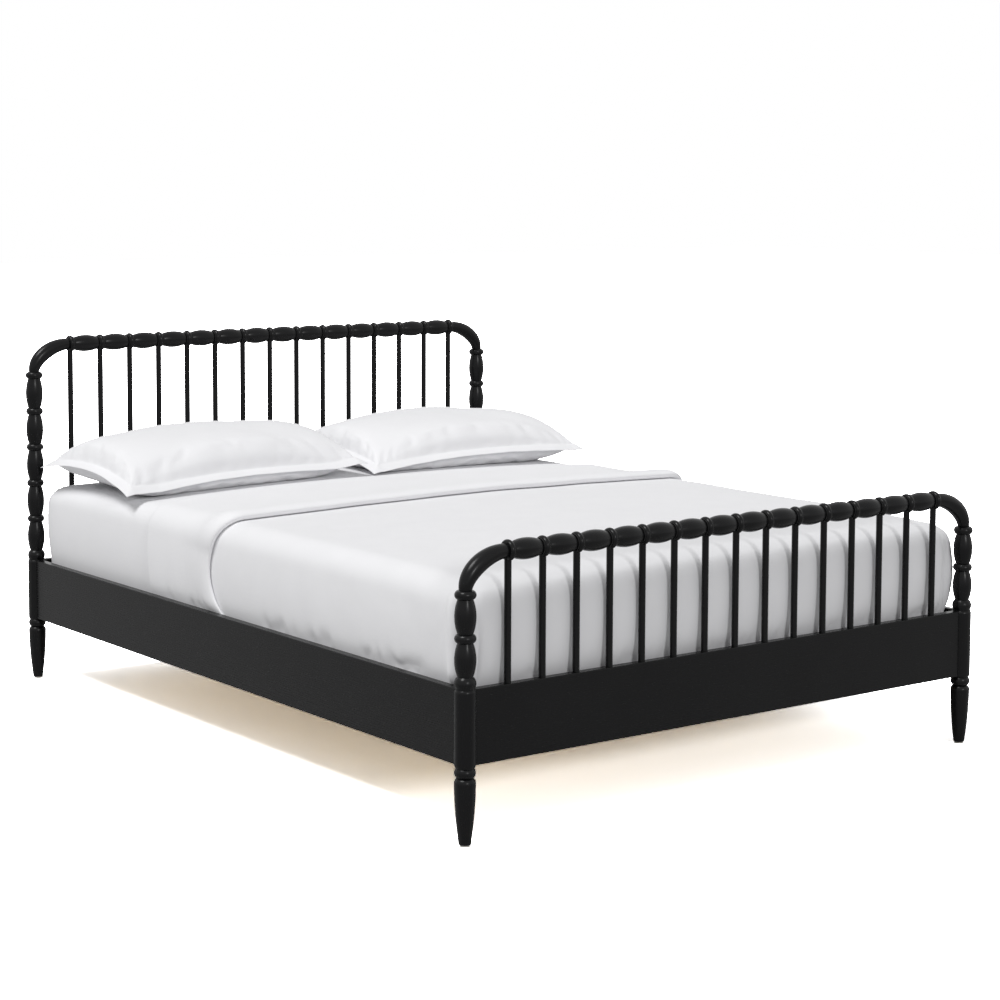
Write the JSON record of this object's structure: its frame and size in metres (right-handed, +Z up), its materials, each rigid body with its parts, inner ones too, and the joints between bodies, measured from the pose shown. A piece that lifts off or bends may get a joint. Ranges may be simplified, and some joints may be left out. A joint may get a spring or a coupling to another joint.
{
  "type": "spindle bed",
  "caption": "Queen-size bed with bobbin-turned posts and top rails joined by bent elbows, dowel spindles, flat panels and side rails, slatted base, mattress and white made-up bedding.",
  "frame": {"origin": "on the floor under the middle of the bed, halfway between the four post axes", "axes": "+Z up, +Y towards the headboard, +X the bed's right side seen from the foot"},
  "size_m": [1.61, 2.114, 0.9789],
  "materials": {
    "painted_hardwood": "satin black paint on turned hardwood",
    "bare_pine": "planed and unfinished",
    "glide_nylon": "moulded nylon",
    "zinc_steel": "zinc plated",
    "mattress_ticking": "knitted ticking",
    "sheet_cotton": "smooth percale",
    "coverlet_cotton": "soft washed cotton",
    "pillow_cotton": "smooth percale"
  },
  "bodies": {
    "bed_frame": {"head_post_left": "painted_hardwood", "head_elbow_left": "painted_hardwood", "head_post_right": "painted_hardwood", "head_elbow_right": "painted_hardwood", "head_top_rail": "painted_hardwood", "head_panel": "painted_hardwood", "head_spindle_01": "painted_hardwood", "head_spindle_02": "painted_hardwood", "head_spindle_03": "painted_hardwood", "head_spindle_04": "painted_hardwood", "head_spindle_05": "painted_hardwood", "head_spindle_06": "painted_hardwood", "head_spindle_07": "painted_hardwood", "head_spindle_08": "painted_hardwood", "head_spindle_09": "painted_hardwood", "head_spindle_10": "painted_hardwood", "head_spindle_11": "painted_hardwood", "head_spindle_12": "painted_hardwood", "head_spindle_13": "painted_hardwood", "head_spindle_14": "painted_hardwood", "head_spindle_15": "painted_hardwood", "foot_post_left": "painted_hardwood", "foot_elbow_left": "painted_hardwood", "foot_post_right": "painted_hardwood", "foot_elbow_right": "painted_hardwood", "foot_top_rail": "painted_hardwood", "foot_panel": "painted_hardwood", "foot_spindle_01": "painted_hardwood", "foot_spindle_02": "painted_hardwood", "foot_spindle_03": "painted_hardwood", "foot_spindle_04": "painted_hardwood", "foot_spindle_05": "painted_hardwood", "foot_spindle_06": "painted_hardwood", "foot_spindle_07": "painted_hardwood", "foot_spindle_08": "painted_hardwood", "foot_spindle_09": "painted_hardwood", "foot_spindle_10": "painted_hardwood", "foot_spindle_11": "painted_hardwood", "foot_spindle_12": "painted_hardwood", "foot_spindle_13": "painted_hardwood", "foot_spindle_14": "painted_hardwood", "foot_spindle_15": "painted_hardwood", "side_rail_left": "painted_hardwood", "side_rail_right": "painted_hardwood", "slat_cleat_left": "bare_pine", "slat_cleat_right": "bare_pine", "slats": "bare_pine", "centre_beam": "bare_pine", "beam_rests": "bare_pine", "centre_legs": "bare_pine", "leg_glides": "glide_nylon", "corner_brackets": "zinc_steel", "corner_bolts": "zinc_steel"},
    "mattress_set": {"mattress": "mattress_ticking", "fitted_sheet": "sheet_cotton", "top_sheet": "sheet_cotton", "coverlet": "coverlet_cotton"},
    "left_pillow": {"pillow_left": "pillow_cotton"},
    "right_pillow": {"pillow_right": "pillow_cotton"}
  },
  "joints": [
    {"name": "mattress_lift", "type": "slide", "parent": "bed_frame", "child": "mattress_set", "axis": [0, 0, 1], "range_m": [0, 0.75]},
    {"name": "left_pillow_lift", "type": "slide", "parent": "mattress_set", "child": "left_pillow", "axis": [0, 0, 1], "range_m": [0, 0.45]},
    {"name": "right_pillow_lift", "type": "slide", "parent": "mattress_set", "child": "right_pillow", "axis": [0, 0, 1], "range_m": [0, 0.45]}
  ]
}
